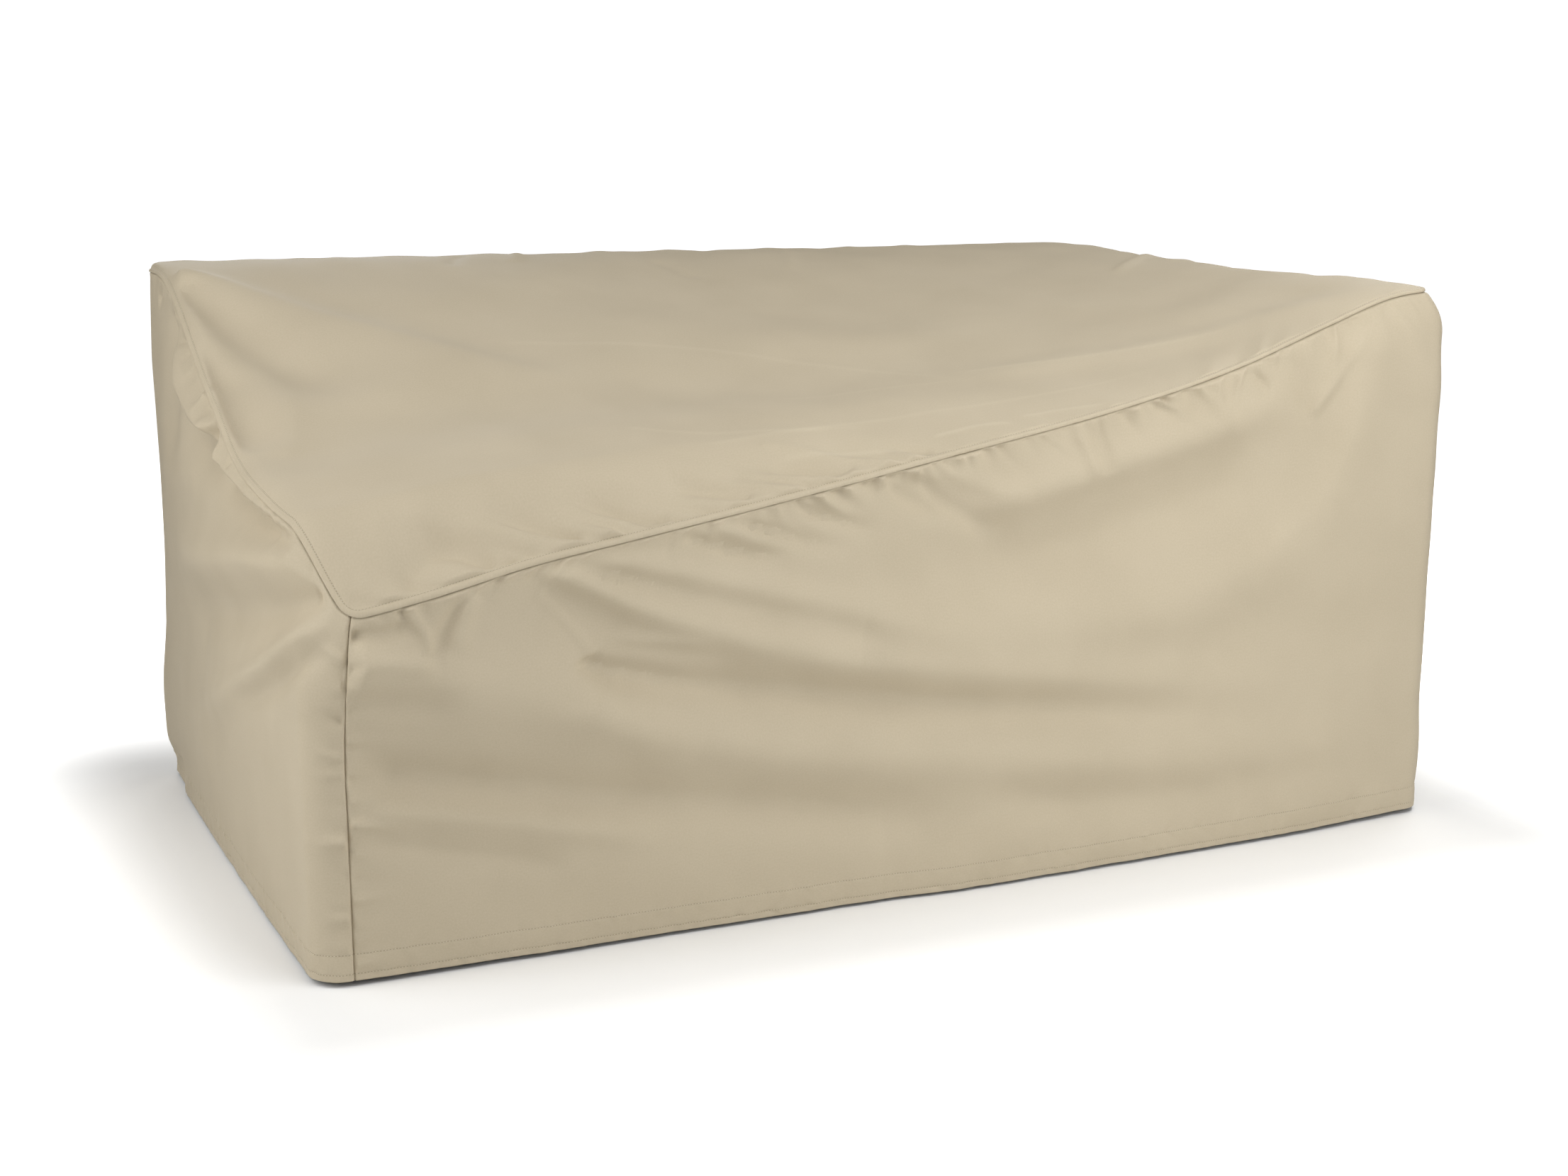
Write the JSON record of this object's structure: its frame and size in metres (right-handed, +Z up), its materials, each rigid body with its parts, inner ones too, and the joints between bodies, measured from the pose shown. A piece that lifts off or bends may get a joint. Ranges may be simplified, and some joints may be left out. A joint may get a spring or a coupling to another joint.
{
  "type": "outdoor seat cover",
  "caption": "Fitted woven cover for a long outdoor seat with a high back and one high arm, hollow and open below, with a sloping top panel sewn to four walls.",
  "frame": {"origin": "under the top panel, on the middle line of the back rail, where the furniture's top carries the cover", "axes": "+X to the right along the front, +Y to the back, +Z up"},
  "size_m": [1.8149, 1.1177, 0.8536],
  "materials": {
    "cover_cloth": "coated plain-weave polyester, matt with a soft sheen"
  },
  "bodies": {
    "root": {"top_panel": "cover_cloth", "front_panel": "cover_cloth", "left_panel": "cover_cloth", "right_panel": "cover_cloth", "back_panel": "cover_cloth"}
  },
  "joints": []
}
